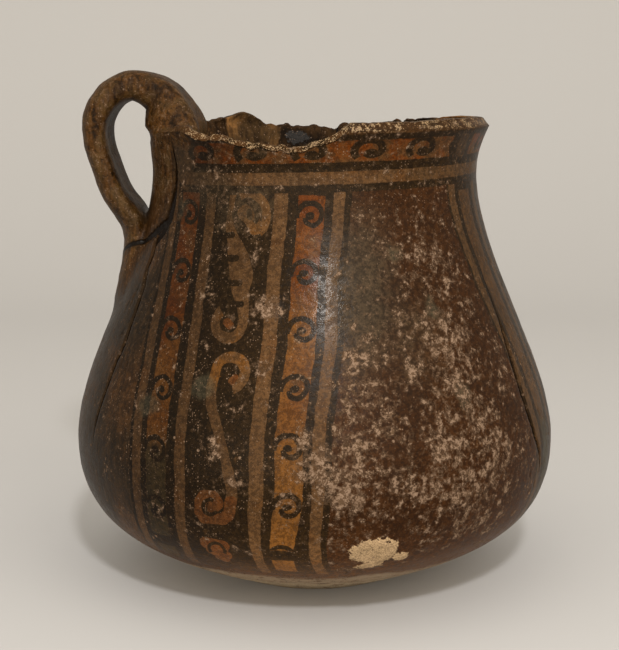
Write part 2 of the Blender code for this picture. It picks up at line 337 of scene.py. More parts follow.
def vessel_grid():
    """Points of the vessel, as rows of columns: up the outside, over the rim and down the inside."""
    azimuth = column_azimuths()
    top, edge, broken = rim_edge(azimuth)
    rows = [(radius, 0, 0) for radius in (2, 8, 14, 20, 25)]
    rows += [(radius, height, 0) for radius, height in evenly(BODY, 138)]
    corner = np.minimum(LIP_HEIGHT, edge - 0.7)
    heights = [NECK_HEIGHT + share * (corner - NECK_HEIGHT) for share in np.linspace(0, 1, 13)[1:]]
    heights += [corner + share * (edge - corner) for share in (0.4, 0.8, 1)]
    rows += [(outer_radius(height), height, 0) for height in heights]
    out = outer_radius(edge)
    inner = outer_radius(top) - LIP_WALL
    for share in (0.05, 0.16, 0.32, 0.5, 0.68, 0.84, 0.95):
        height = edge + (top - edge) * smooth(share, 0, 0.45)
        height = height - (0.25 + 0.35 * broken) * smooth(share, 0.62, 1)
        rows.append((out + share * (inner - out), height, 1))
    for share in np.linspace(0, 1, 10)[:-1]:
        height = top - 0.75 - share * (top - 0.75 - NECK_HEIGHT)
        rows.append((outer_radius(height) - LIP_WALL, height, 2))
    for radius, height in evenly(LINING[::-1], 34):
        thin = (WALL - LIP_WALL) * smooth(height, NECK_HEIGHT - 18, NECK_HEIGHT)
        rows.append((radius + thin, height, 2))
    for share in (0.86, 0.68, 0.45, 0.2, 0.04):
        rows.append((share * LINING[0][0], FLOOR, 2))
    radius, height, part = (np.array([value + 0.0 * azimuth for value in column]) for column in zip(*rows))
    flare = np.maximum(outer_radius(height) - NECK_RADIUS - 0.4, 0) * (height > NECK_HEIGHT)
    radius = radius - by_root(azimuth) * 0.75 * np.where(part < 2, 1, 0.6) * flare
    up, out_run = np.gradient(height, axis=0), np.gradient(radius, axis=0)
    size = np.hypot(up, out_run) + 1e-9
    away_r, away_z = up / size, -out_run / size
    points = on_circle(azimuth, radius, height)
    lift = np.where(part == 0, outside_relief(points, azimuth + 0.0 * radius, height), 0)
    lift = np.where(part == 1, broken * 0.32 * rough(points, 1.7, 21) + 0.08 * rough(points, 2.5, 22), lift)
    ridged = points * np.array([0.22, 0.22, 1])
    inside = 0.32 * lumps(ridged, 6.5, 31) + 0.14 * rough(points, 3.2, 32) + 0.25 * lumps(points, 24, 33)
    lift = np.where(part == 2, inside, lift)
    radius = np.minimum(radius + lift * away_r, BELLY_RADIUS - 0.02)
    height = np.maximum(height + lift * away_z, 0)
    return on_circle(azimuth, radius, height)


def outside_relief(points, azimuth, height):
    """How far the worn outside stands off the plain turned shape."""
    streaks = points * np.array([0.14, 0.14, 1])
    relief = -0.25 - 0.22 * lumps(points, 34, 41)
    relief = relief + 0.07 * lumps(streaks, 3.2, 42) + 0.04 * rough(points, 3, 43)
    relief -= 0.3 * smooth(lumps(points, 2.1, 44), 0.62, 0.95) * smooth(lumps(points, 17, 45), -0.1, 0.6)
    crust = growth(CRUST, azimuth, height)
    relief += 0.32 * smooth(crust + 0.35 * rough(points, 2.4, 46), 0.35, 0.9)
    plaster = growth(PLASTER, azimuth, height)
    relief += 0.4 * smooth(plaster + 0.15 * rough(points, 2.8, 47), 0.42, 0.62)
    side, gap = crack_lines(azimuth, height)
    relief -= 1.3 * smooth(gap, 0.12, 0.8) * (1.0 - smooth(np.abs(side), 0.35 * gap, gap + 0.35))
    return relief * smooth(height, 0.2, 4)


def strap_stations():
    """Sections along the strap: radius and height of its middle, thickness, half width, corner."""
    thick, crown_thick = STRAP_THICKNESS, CROWN_THICKNESS
    foot = NECK_HEIGHT - LOWER_ROOT_DROP
    heel = NECK_HEIGHT - 0.57 * LOWER_ROOT_DROP
    waist = NECK_HEIGHT - 0.33 * LOWER_ROOT_DROP
    rise = waist + 1.4 * thick
    half = 0.5 * STRAP_WIDTH
    bow_radius = NECK_RADIUS + FINGER_GAP + 0.5 * thick
    crown = CREST_HEIGHT + CROWN_RISE - 0.5 * crown_thick
    seat_thickness = LIP_WALL + UPPER_ROOT_REACH
    seat_radius = LIP_RADIUS - 0.5 * seat_thickness - 0.36 * LIP_WALL
    tail = CREST_HEIGHT - UPPER_ROOT_DROP
    low_half = 0.5 * LOWER_ROOT_WIDTH
    top_half = 0.5 * UPPER_ROOT_WIDTH
    return [
        (outer_radius(foot) - 0.45 * WALL, foot, ROOT_TIP, 0.7 * low_half, 1),
        (outer_radius(heel) - 0.1 * LOWER_ROOT_PROUD, heel, 1.9 * LOWER_ROOT_PROUD, low_half, 1),
        (outer_radius(waist) + LOWER_ROOT_PROUD - 0.13 * thick, waist, 1.1 * thick, half + 0.2 * thick, 0.8),
        (0.55 * outer_radius(waist) + 0.45 * bow_radius + 0.36 * thick, rise, 0.96 * thick, half, 0.6),
        (bow_radius, 0.3 * rise + 0.7 * crown - 0.6 * thick, thick, half, 0.55),
        (bow_radius - 0.44 * thick, crown - 0.49 * thick, 1.1 * thick, half, 0.55),
        (LIP_RADIUS + 0.25 * thick, crown, crown_thick, half, 0.55),
        (seat_radius + 0.35 * thick, crown - 0.38 * crown_thick,
         0.48 * (crown_thick + seat_thickness), 0.74 * top_half, 0.55),
        (seat_radius, crown - 1.38 * crown_thick, seat_thickness, top_half, 0.55),
        (seat_radius + 0.11 * thick, tail + 0.45 * seat_thickness,
         0.6 * seat_thickness, 0.84 * top_half, 0.6),
        (outer_radius(tail) - 0.5 * WALL, tail, ROOT_TIP, 0.6 * top_half, 0.6),
    ]


def smooth_path(stations, steps):
    """The stations joined by a smooth curve, read off at even steps along it."""
    points = np.array(stations, float)
    padded = np.vstack([2 * points[0] - points[1], points, 2 * points[-1] - points[-2]])
    dense = []
    for before, here, there, after in zip(padded, padded[1:], padded[2:], padded[3:]):
        for t in np.linspace(0, 1, 24, endpoint=False):
            dense.append(0.5 * (2 * here + (there - before) * t
                                + (2 * before - 5 * here + 4 * there - after) * t ** 2
                                + (3 * here - before - 3 * there + after) * t ** 3))
    dense = np.array(dense + [points[-1]])
    run = lengths_along(dense[:, :2])
    marks = np.linspace(0, run[-1], steps)
    return np.stack([np.interp(marks, run, values) for values in dense.T], axis=1)


def strap_grid():
    """Points of the strap, section by section, with its lumps and worn edges."""
    path = smooth_path(strap_stations(), STRAP_STEPS)
    along = np.gradient(path[:, :2], axis=0)
    along /= np.linalg.norm(along, axis=1)[:, None]
    turn = 2 * np.pi * np.arange(STRAP_SIDES) / STRAP_SIDES
    rows = []
    for (radius, height, thickness, half, corner), (run_out, run_up) in zip(path, along):
        across = half * np.sign(np.cos(turn)) * np.abs(np.cos(turn)) ** corner
        deep = 0.5 * thickness * np.sign(np.sin(turn)) * np.abs(np.sin(turn)) ** min(1, corner + 0.25)
        place = radius - deep * run_up
        bend = across / place
        rows.append(np.stack([-place * np.cos(bend), place * np.sin(bend), height + deep * run_out], axis=1))
    points = np.array(rows)
    middle = points.mean(axis=1, keepdims=True)
    inward = middle - points
    reach = np.linalg.norm(inward, axis=2, keepdims=True)
    lumpy = 0.3 + 0.35 * lumps(points, 9, 51) + 0.34 * rough(points, 3.6, 52)
    pits = 0.5 * smooth(lumps(points, 2.4, 53), 0.45, 0.95)
    drawn = np.maximum(lumpy + pits, 0)[..., None]
    return points + inward / (reach + 1e-9) * np.minimum(drawn, 0.3 * reach)


def closed_mesh(name, grid, piece):
    """Closed mesh from a grid of points: rows of closed rings with a point in the middle of each end."""
    rows, columns = grid.shape[:2]
    points = [tuple(p) for p in (METRES_PER_MM * grid).reshape(-1, 3)]
    faces = []
    for row in range(rows - 1):
        here = row * columns
        there = here + columns
        for column in range(columns):
            after = (column + 1) % columns
            faces.append((here + column, here + after, there + after, there + column))
    low, high = len(points), len(points) + 1
    points += [tuple(METRES_PER_MM * grid[end].mean(axis=0)) for end in (0, -1)]
    tail = (rows - 1) * columns
    for column in range(columns):
        after = (column + 1) % columns
        faces.append((low, after, column))
        faces.append((high, tail + column, tail + after))
    mesh = bpy.data.meshes.new(name)
    mesh.from_pydata(points, [], faces)
    marks = mesh.attributes.new("piece", "INT", "FACE")
    marks.data.foreach_set("value", [piece] * len(faces))
    return mesh


def values_of(items, name, width=1, kind=np.int32):
    """What each item of a mesh holds: one value, or a row of them."""
    flat = np.zeros(width * len(items), kind)
    items.foreach_get(name, flat)
    return flat.reshape(-1, width) if width > 1 else flat


def mesh_points(mesh):
    return values_of(mesh.vertices, "co", 3, float)


def soften_join(mesh, reach, rounds):
    """Turns the corner where the strap meets the vessel into a fillet."""
    piece = values_of(mesh.attributes["piece"].data, "value")
    corners = values_of(mesh.loops, "vertex_index")
    owner = np.repeat(piece, values_of(mesh.polygons, "loop_total"))
    seam = np.intersect1d(corners[owner == 0], corners[owner == 1])
    points = mesh_points(mesh)
    tree = KDTree(len(seam))
    for index, vertex in enumerate(seam):
        tree.insert(points[vertex], index)
    tree.balance()
    near_strap = off_strap(azimuth_of(points)) < 50
    weight = np.zeros(len(points))
    for vertex in np.where(near_strap & (points[:, 2] > 0.065))[0]:
        away = tree.find(points[vertex])[2]
        weight[vertex] = max(0, 1.0 - away / reach)
    weight = smooth(weight, 0, 0.8)[:, None]
    edges = values_of(mesh.edges, "vertices", 2)
    edges = edges[(weight[edges[:, 0], 0] > 0) | (weight[edges[:, 1], 0] > 0)]
    count = np.zeros(len(points))
    np.add.at(count, edges[:, 0], 1)
    np.add.at(count, edges[:, 1], 1)
    for _ in range(rounds):
        total = np.zeros_like(points)
        np.add.at(total, edges[:, 0], points[edges[:, 1]])
        np.add.at(total, edges[:, 1], points[edges[:, 0]])
        mean = total / np.maximum(count, 1)[:, None]
        points = np.where(weight > 0, points + 0.5 * weight * (mean - points), points)
    mesh.vertices.foreach_set("co", points.ravel())
    mesh.update()


def add_object(name, data):
    thing = bpy.data.objects.new(name, data)
    bpy.context.scene.collection.objects.link(thing)
    return thing


def jug_mesh():
    """The vessel and the strap joined into one closed mesh."""
    vessel = add_object("vessel_raw", closed_mesh("vessel_raw", vessel_grid(), 0))
    strap = add_object("strap_raw", closed_mesh("strap_raw", strap_grid(), 1))
    for thing in (vessel, strap):
        if volume(thing.data) < 0:
            thing.data.flip_normals()
    union = vessel.modifiers.new("joined", "BOOLEAN")
    union.operation = "UNION"
    union.solver = "EXACT"
    union.object = strap
    mesh = bpy.data.meshes.new_from_object(vessel.evaluated_get(bpy.context.evaluated_depsgraph_get()))
    for thing in (vessel, strap):
        raw = thing.data
        bpy.data.objects.remove(thing, do_unlink=True)
        bpy.data.meshes.remove(raw)
    soften_join(mesh, JOIN_REACH_METRES, JOIN_ROUNDS)
    mesh.name = "jug_clay"
    return mesh


def volume(mesh):
    """Signed volume of a mesh, positive where its faces look outwards."""
    mesh.calc_loop_triangles()
    a, b, c = mesh_points(mesh)[values_of(mesh.loop_triangles, "vertices", 3)].transpose(1, 0, 2)
    return float(np.einsum("ij,ij->i", a, np.cross(b, c)).sum() / 6)


def describe_surface(mesh):
    """Writes on each vertex what the material needs to know about its place."""
    points = MM_PER_METRE * mesh_points(mesh)
    azimuth = azimuth_of(points)
    height = points[:, 2]
    radius = np.hypot(points[:, 0], points[:, 1])
    top, edge, broken = rim_edge(azimuth)
    near = 1.0 - smooth(off_strap(azimuth), 26, 31)
    proud = radius - outer_radius(height)
    reach_in = inner_radius(height) - radius
    deep_in = outer_radius(np.minimum(height, CREST_HEIGHT)) - radius
    strap = near * np.maximum(smooth(proud, 0.5, 2.2) * smooth(height, 70, 80),
                              smooth(height - top, 0.4, 1.6))
    strap = np.maximum(strap, near * smooth(reach_in, 0.8, 2.2) * smooth(height, 121, 127))
    strap = np.maximum(strap, by_root(azimuth) * smooth(height, 112, 128))
    root_top = (1.0 - smooth(off_strap(azimuth), 44, 48)) * smooth(height, 133.5, 136.5)
    strap = np.maximum(strap, root_top * (deep_in < 6.5))
    inside = smooth(deep_in, 2.2, 3.6) * (1.0 - strap) * smooth(height, 3.5, 5.5)
    face = smooth(height - edge, -0.35, 0.15) * (1.0 - strap) * smooth(reach_in, -6, -5)
    side, gap = crack_lines(azimuth, height)
    degree = degree_at(height) * (1.0 + 0.045 * smooth(height, 80, 105))
    degree = degree * (1.0 + 0.1 * (1.0 - smooth(height, 14, 44)))
    shift = -20.4 - 0.6 * smooth(height, 42, 60) - 1.2 * smooth(height, 78, 104)
    shift = shift - 2.6 * (1.0 - smooth(height, 14, 46))
    facts = {
        "wear": (inside, face * (0.35 + 0.65 * broken), strap),
        "fault": (side, gap, growth(WORN, azimuth, height)),
        "growth": tuple(growth(places, azimuth, height) for places in (CRUST, PLASTER, MOSS)),
        "layout": (degree, shift, run_at(height)),
    }
    for name, values in facts.items():
        layer = mesh.attributes.new(name, "FLOAT_VECTOR", "POINT")
        layer.data.foreach_set("vector", np.stack(values, axis=1).ravel())


# Shader numbers: each one is a socket, and arithmetic on them makes Math nodes

class Number:
    """A number that varies over the surface, in the node tree that is being made."""

    tree = None

    def __init__(self, socket):
        self.socket = socket

    def __add__(self, other):
        return math_node("ADD", self, other)

    def __sub__(self, other):
        return math_node("SUBTRACT", self, other)

    def __rsub__(self, other):
        return math_node("SUBTRACT", other, self)

    def __mul__(self, other):
        return math_node("MULTIPLY", self, other)

    def __truediv__(self, other):
        return math_node("DIVIDE", self, other)

    __radd__ = __add__
    __rmul__ = __mul__


def node(kind, **given):
    """A new node of the tree, with some of its inputs by name."""
    made = Number.tree.nodes.new(kind)
    for name, value in given.items():
        feed(made.inputs[name], value)
    return made


def feed(socket, value):
    if isinstance(value, Number):
        Number.tree.links.new(value.socket, socket)
    else:
        socket.default_value = value


def math_node(operation, *values):
    made = node("ShaderNodeMath")
    made.operation = operation
    for socket, value in zip(made.inputs, values):
        feed(socket, value)
    return Number(made.outputs[0])


def lesser(*values):
    return reduce(lambda so_far, value: math_node("MINIMUM", so_far, value), values)


def greater(*values):
    return reduce(lambda so_far, value: math_node("MAXIMUM", so_far, value), values)


def distance(value, centre):
    return math_node("ABSOLUTE", value - centre)


def step(value, low, high):
    """0 at low, 1 at high, and a soft step between them."""
    made = node("ShaderNodeMapRange")
    made.interpolation_type = "SMOOTHSTEP"
    made.clamp = False
    feed(made.inputs[0], value)
    feed(made.inputs[1], low)
    feed(made.inputs[2], high)
    return Number(made.outputs[0])


def within(away, edge=0.13):
    """1 where a signed distance is inside, 0 outside."""
    return step(away, edge, -edge)


def vector_node(operation, *values, scale=None):
    """Vector arithmetic, of which a length and a dot product come out as numbers."""
    made = node("ShaderNodeVectorMath")
    made.operation = operation
    for socket, value in zip(made.inputs, values):
        feed(socket, value)
    if scale is not None:
        feed(made.inputs["Scale"], scale)
    return Number(made.outputs["Value" if operation in ("LENGTH", "DOT_PRODUCT") else "Vector"])


def parts(vector):
    return [Number(socket) for socket in node("ShaderNodeSeparateXYZ", Vector=vector).outputs]


def surface_fact(name):
    made = node("ShaderNodeAttribute")
    made.attribute_name = name
    return parts(Number(made.outputs["Vector"]))


def noise(place, size, detail, harshness, seed, warp=0):
    """Noise from 0 to 1 whose lumps are about a size in millimetres."""
    place = vector_node("ADD", place, (7.3 * seed, 3.1 * seed, 11.9 * seed))
    made = node("ShaderNodeTexNoise", Vector=place, Scale=1.0 / size, Detail=detail, Roughness=harshness,
                Distortion=warp)
    return Number(made.outputs[0])


def specks(place, size, share, seed):
    """Scattered small spots about a size across, on a share of the surface's cells."""
    place = vector_node("ADD", place, (5.7 * seed, 9.1 * seed, 2.3 * seed))
    made = node("ShaderNodeTexVoronoi", Vector=place, Scale=0.45 / size)
    picked = parts(Number(made.outputs["Color"]))[0]
    return step(Number(made.outputs["Distance"]), 0.34, 0.16) * step(picked, 1.0 - share, 1.0 - 0.9 * share)


def mixed(factor, below, above, blend="MIX"):
    """Colour that goes from below to above with the factor."""
    made = node("ShaderNodeMix")
    made.data_type = "RGBA"
    made.blend_type = blend
    feed(made.inputs[0], factor)
    for socket, value in ((made.inputs[6], below), (made.inputs[7], above)):
        feed(socket, value if isinstance(value, Number) else (*value, 1))
    return Number(made.outputs[2])


def blended(factor, below, above):
    """Number that goes from below to above with the factor."""
    return below + factor * (above - below)


def shaded(colour, amount):
    """Colour times a grey amount."""
    grey = node("ShaderNodeCombineColor")
    for socket in grey.inputs:
        feed(socket, amount)
    return mixed(1, colour, Number(grey.outputs[0]), "MULTIPLY")


def line_group():
    """Node group: the lesser of the distance so far and the distance to a straight piece of a line."""
    group = bpy.data.node_groups.new("line_piece", "ShaderNodeTree")
    for name, way, kind in (("place", "INPUT", "Vector"), ("start", "INPUT", "Vector"),
                            ("reach", "INPUT", "Vector"), ("so far", "INPUT", "Float"),
                            ("nearest", "OUTPUT", "Float")):
        group.interface.new_socket(name=name, in_out=way, socket_type="NodeSocket" + kind)
    outer = Number.tree
    Number.tree = group
    given = node("NodeGroupInput")
    place, start, reach, so_far = (Number(socket) for socket in given.outputs[:4])
    offset = vector_node("SUBTRACT", place, start)
    share = vector_node("DOT_PRODUCT", offset, reach) / vector_node("DOT_PRODUCT", reach, reach)
    share = lesser(greater(share, 0), 1)
    gap = vector_node("SUBTRACT", offset, vector_node("SCALE", reach, scale=share))
    feed(node("NodeGroupOutput").inputs[0], lesser(vector_node("LENGTH", gap), so_far))
    Number.tree = outer
    return group


def line_distance(group, place, points):
    """Distance in millimetres to a painted line through the points."""
    so_far = 99.0
    for (ax, ay), (bx, by) in zip(points, points[1:]):
        made = node("ShaderNodeGroup")
        made.node_tree = group
        feed(made.inputs[0], place)
        made.inputs[1].default_value = (ax, ay, 0)
        made.inputs[2].default_value = (bx - ax, by - ay, 0)
        feed(made.inputs[3], so_far)
        so_far = Number(made.outputs[0])
    return so_far


def curve_of(value, points):
    """Smooth curve through the points (value, result)."""
    low, high = points[0][0], points[-1][0]
    made = node("ShaderNodeFloatCurve", Value=(value - low) * (1.0 / (high - low)))
    least = min(result for _, result in points)
    most = max(result for _, result in points)
    line = made.mapping.curves[0]
    places = [((at - low) / (high - low), (result - least) / (most - least)) for at, result in points]
    for end, spot in zip((0, -1), (places[0], places[-1])):
        line.points[end].location = spot
    for spot in places[1:-1]:
        line.points.new(*spot)
    made.mapping.update()
    return Number(made.outputs[0]) * (most - least) + least


def arc(place, centre, radius, toward, spread, half):
    """Signed distance to a painted arc: it is centred on one direction and spreads to both sides."""
    offset = vector_node("SUBTRACT", place, (*centre, 0))
    length = vector_node("LENGTH", offset)
    aim = (math.cos(math.radians(toward)), math.sin(math.radians(toward)), 0)
    leaning = vector_node("DOT_PRODUCT", offset, aim) / length
    return greater(distance(length, radius) - half, (math.cos(math.radians(spread)) - leaning) * radius)


def hook(x, y, half, start=190, end=(-0.35, 0.15)):
    """Signed distance to a painted hook: it starts at the left, arches over, comes down and curls in."""
    radius = math_node("SQRT", x * x + y * y)
    turn = math_node("FLOORED_MODULO", math.radians(start) - math_node("ARCTAN2", y, x), 2 * math.pi)
    curl = 4.15 - 0.26 * turn - 0.024 * turn * turn
    ring = distance(radius, curl) - half
    end_x, end_y = x - end[0], y - end[1]
    blob = math_node("SQRT", end_x * end_x * 0.6 + end_y * end_y) - (half + 0.25)
    return lesser(ring, blob)


# Painted shapes of the middle zone as (across, down from the neck), in millimetres

COMB_LEFT = (
    (4.6, -5.6), (9, -6.2), (12.5, -6.5), (19.5, -5.1), (26.3, -3.4), (32.4, -1.6), (37.5, 0.6), (41, 1.3),
)
COMB_RIGHT = (
    (4.6, -3.6), (9, -4.2), (12.5, -4), (14.5, -3), (19.3, 0.9), (24, 3.4), (27.3, 4.4), (31.4, 3.9),
    (36.5, 3.9), (41, 4),
)
TEETH = (((-9, 16.4), (-3.9, 16.2)), ((-9, 23), (-1.5, 22.7)), ((-9, 30), (0.6, 29.7)),
         ((-9, 35.8), (1.6, 35.5)))
STEM = (
    (54.5, -3.9), (59.5, -4.4), (63.3, -4), (67.3, -2.5), (71.3, -0.8), (75.2, 0.6), (79.2, 1.9),
    (83.1, 2.9), (86.7, 3.5), (91.5, 3.5),
)
SCROLL = (
    (3.5, 90.5), (3.1, 94.2), (1.2, 96), (-4.4, 96.2), (-5.8, 94.6), (-5.8, 91.2), (-4.6, 89.6),
    (-1.8, 89.6), (-0.6, 91.2), (-1.8, 92.6),
)
DROP = (((-4.4, 105), (1, 105.4), 2.3), ((-2.6, 107.6), (1, 109.4), 2.4),
        ((-0.6, 110.6), (0.2, 111.2), 2))

DARK = (0.0165, 0.008, 0.0018)
BUFF = (0.077, 0.0375, 0.0135)
ORANGE = (0.087, 0.0205, 0.0008)
TAWNY = (0.112, 0.044, 0.008)
MAROON = (0.03, 0.0105, 0.0022)
DULL = (0.036, 0.022, 0.011)
GREY = (0.04, 0.0215, 0.008)
CLAY = (0.07, 0.03, 0.0085)
STRAP_CLAY = (0.051, 0.0205, 0.0038)
INNER_CLAY = (0.215, 0.102, 0.032)
BREAK_CLAY = (0.25, 0.17, 0.095)
CRUST_PALE = (0.205, 0.137, 0.093)
CRUST_DULL = (0.082, 0.048, 0.0265)
PLASTER_COLOUR = (0.38, 0.26, 0.148)
MOSS_COLOUR = (0.066, 0.057, 0.034)
FILM = (0.058, 0.038, 0.02)
# Pale dirt and painted bounce light on the foot and the low edge
FOOT_DIRT_AND_BOUNCE_LIGHT = (0.4, 0.3, 0.185)
LOW_DIRT_AND_BOUNCE_LIGHT = (0.27, 0.19, 0.115)
STRAP_DARK = (0.036, 0.019, 0.006)
OLIVE = (0.03, 0.023, 0.0095)
CHALK = (0.33, 0.225, 0.125)
INNER_SPOT = (0.026, 0.024, 0.023)
SOOT = (0.005, 0.003, 0.002)

# Layout of the paint: degrees around the vessel, millimetres down from the neck and up from the ground

DEGREES_PER_RADIAN = 57.29578
PANEL_PITCH = 106.0
COUNT_START = -79.0
RIGHT_HOOK_START = 50.8
RIGHT_HOOK_PITCH = 16.2
LEFT_HOOK_START = 53.5
LEFT_HOOK_PITCH = 17.0
RIM_HOOK_START = 30.3
RIM_HOOK_PITCH = 18.8
RIM_DARK_HEIGHT = 130.4
RIM_BUFF_HEIGHT = 126.2
RIM_RED_HEIGHT = 133.5

CLAY_GLOSS = 0.075
BUMP_STRENGTH = 0.86
BUMP_DISTANCE = 0.001


def panel_paint(group, across, down):
    """Masks of the painted lines in the middle zone of a panel: pale ones and redder ones."""
    place = Number(node("ShaderNodeCombineXYZ", X=across, Y=down).outputs[0])

    def line(points, half):
        return line_distance(group, place, points) - half

    pale = greater(curve_of(down, COMB_LEFT) - across, across - curve_of(down, COMB_RIGHT),
                   4.6 - down, down - 41)
    pale = lesser(pale, arc(place, (-1.9, 41.2), 4.3, 105, 128, 1.45),
                  line(((-0.6, 9.6), (1.6, 11.2), (3.4, 13.6)), 2.2))
    cuts = arc(place, (-0.2, 10.2), 3.6, -90, 125, 0.8)
    cuts = lesser(cuts, line(((0.9, 9.4), (1.3, 11)), 0.85), *(line(tooth, 0.9) for tooth in TEETH))
    pale = lesser(greater(pale, -1.0 * cuts), arc(place, (0.3, 10.4), 6.2, -35, 82, 1.35))
    stem = greater(distance(across, curve_of(down, STEM)) - 1.6, 54.5 - down, down - 91.5)
    pale = lesser(pale, stem, arc(place, (0.4, 55), 4.4, -70, 140, 1.5))
    red = lesser(line(SCROLL, 1.85), *(line((start, end), half) for start, end, half in DROP))
    red = greater(red, -1.0 * arc(place, (-1.2, 107.4), 2.7, -90, 120, 0.6),
                  -1.0 * arc(place, (-2.7, 92.6), 2.2, 160, 135, 0.62))
    red = lesser(red, line(((-2.4, 41), (-1.6, 41.8)), 1.3), line(((1.2, 57.2), (2, 56.2)), 1))
    return within(pale), within(red)


def painted_clay():
    material = bpy.data.materials.new("jug_painted_clay")
    material.use_nodes = True
    tree = material.node_tree
    Number.tree = tree
    shader = tree.nodes["Principled BSDF"]
    group = line_group()

    place = vector_node("SCALE", Number(node("ShaderNodeTexCoord").outputs["Object"]), scale=MM_PER_METRE)
    x, y, z = parts(place)
    inside, broken_face, strap = surface_fact("wear")
    crack_side, crack_gap, worn_place = surface_fact("fault")
    crust_place, plaster_place, moss_place = surface_fact("growth")
    degree, shift, down = surface_fact("layout")

    broad = noise(place, 22, 2, 0.55, 1)
    patchy = noise(place, 6, 3, 0.6, 2)
    grainy = noise(place, 1.3, 2, 0.62, 3)
    fine = noise(place, 0.4, 1, 0.6, 4)
    streaky = noise(vector_node("MULTIPLY", place, (1, 1, 0.16)), 1.7, 2, 0.6, 9)
    drift, uneven, grain = broad - 0.5, patchy - 0.5, grainy - 0.5
    wobble_x = 1.3 * (noise(place, 5, 3, 0.62, 5) - 0.5)
    wobble_y = 1.4 * (noise(place, 5, 3, 0.62, 7) - 0.5)

    # Three painted panels, 106 degrees apart; the handle stands where a fourth would
    azimuth = math_node("ARCTAN2", x, -1.0 * y) * DEGREES_PER_RADIAN
    turned = math_node("FLOORED_MODULO", azimuth - shift - COUNT_START, 360) + COUNT_START
    number = math_node("FLOOR", (turned + 0.5 * PANEL_PITCH) / PANEL_PITCH)
    relative = turned - PANEL_PITCH * number
    across = relative * degree + wobble_x
    run = down + wobble_y
    in_panels = step(turned, -40, -39) * step(turned, 250, 249)
    maroon_side = step(turned, -23, -22) * step(turned, 235, 234)

    low = step(z, 42, 16)

    def stripe(centre, half):
        return within(distance(across, centre) - half)

    panel = in_panels * step(run, 2.4, 2.8) * step(run, 118.8, 118)
    rows = in_panels * step(run, 4.4, 4.8) * step(run, 105.6, 105)
    ground = panel * stripe(-0.35 + low, 31.6 + low)
    buff_lines = greater(stripe(-29, 1.75), stripe(-12.6, 1.75), stripe(10.6 + 1.5 * low, 2.05 - 0.6 * low),
                         stripe(27.6 + 2.2 * low, 1.7))
    left_band = stripe(-21.2, 3.8)
    right_band = stripe(19.6 - 0.3 * low, 3.9 - 0.6 * low)
    low_patch = step(run, 109.6, 110) * step(run, 116.4, 115.8)

    def cell(value, start, pitch):
        """Place in a row that repeats, from minus to plus half its pitch."""
        return math_node("FLOORED_MODULO", value - start, pitch) - 0.5 * pitch

    right_cell = cell(run, RIGHT_HOOK_START, RIGHT_HOOK_PITCH)
    left_cell = cell(run, LEFT_HOOK_START, LEFT_HOOK_PITCH)
    hooks = greater(within(hook(across - 19.7, -1.0 * right_cell, 0.78)) * step(across, 13, 13.4),
                    within(hook(across + 21.2, -1.0 * left_cell, 0.74)) * step(across, -15, -15.4))

    orange = mixed(step(broad + 0.0035 * run + 0.004 * turned, 0.4, 0.9), ORANGE, TAWNY)
    orange = mixed((0.4 - 0.2 * low) * step(patchy, 0.45, 0.7), orange, BUFF)
    buff = mixed(step(patchy + 0.6 * drift, 0.52, 0.7), BUFF, CLAY)
    ribbon_colour = mixed(step(broad + 0.7 * uneven, 0.52, 0.72), buff, TAWNY)
    ribbon_colour = shaded(ribbon_colour, 0.66 + 0.6 * broad)
    dusty = step(number, 0.5, 0.6) * step(turned, 130, 120)
    orange = mixed(0.75 * dusty, orange, GREY)
    buff = mixed(0.45 * dusty, buff, GREY)

    grey = mixed(step(broad, 0.35, 0.65), GREY, CLAY)
    dull = mixed(step(worn_place + 0.5 * uneven, 0.15, 0.75), MAROON, DULL)
    colour = mixed(maroon_side, shaded(grey, 0.45 + 0.45 * patchy + 0.5 * step(streaky, 0.38, 0.62)),
                   shaded(dull, 0.7 + 0.7 * broad))

    def cover(share, coat):
        """Lays a coat of colour over what is there."""
        nonlocal colour
        colour = mixed(share, colour, coat)

    cover(ground, DARK)
    cover(panel * buff_lines, buff)
    olive = left_band * step(z + 8.0 * uneven, 57, 50)
    orange = mixed(0.85 * olive, orange, OLIVE)
    cover(greater(rows, in_panels * low_patch) * greater(left_band, right_band), orange)
    cover(rows * hooks * (1.0 - 0.7 * dusty), DARK)
    pale_lines, red_lines = panel_paint(group, across, run)
    cover(panel * pale_lines, ribbon_colour)
    cover(panel * red_lines, mixed(patchy, ORANGE, BUFF))
    cover(0.5 * step(z + 5.0 * uneven, 26, 14), shaded(CLAY, 0.9))

    # Bands round the rim
    level = z + wobble_y * 0.5 - 0.02 * turned
    rim_span = step(turned, -27.5, -26) * step(turned, 239, 237.5)

    def ring(centre, half):
        return rim_span * within(distance(level, centre) - half)

    rim_cell = cell(turned, RIM_HOOK_START, RIM_HOOK_PITCH) * 0.9
    rim_hooks = within(hook(rim_cell * 0.83, (level - 133.7) * 1.28, 1, 222, (0.1, -0.9)), 0.16)
    parted = step(number, 0.5, 0.6)
    cover(ring(RIM_DARK_HEIGHT, 8.1), DARK)
    cover(ring(RIM_BUFF_HEIGHT, 1.75), buff)
    red_band = ring(RIM_RED_HEIGHT, 2.95)
    cover(red_band, mixed(step(patchy, 0.36, 0.6), ORANGE, CLAY))
    cover(red_band * rim_hooks, DARK)
    divider = parted * within(distance(relative, -28) - 6.2, 0.3)
    cover(divider * ring(RIM_RED_HEIGHT, 4.2), DARK)
    patch = parted * within(distance(relative, -27.6) - 3, 0.3)
    cover(patch * ring(RIM_RED_HEIGHT, 3.4), shaded(buff, 0.6))
    cover(step(level, 137.9, 138.5), mixed(patchy, CLAY, DARK))
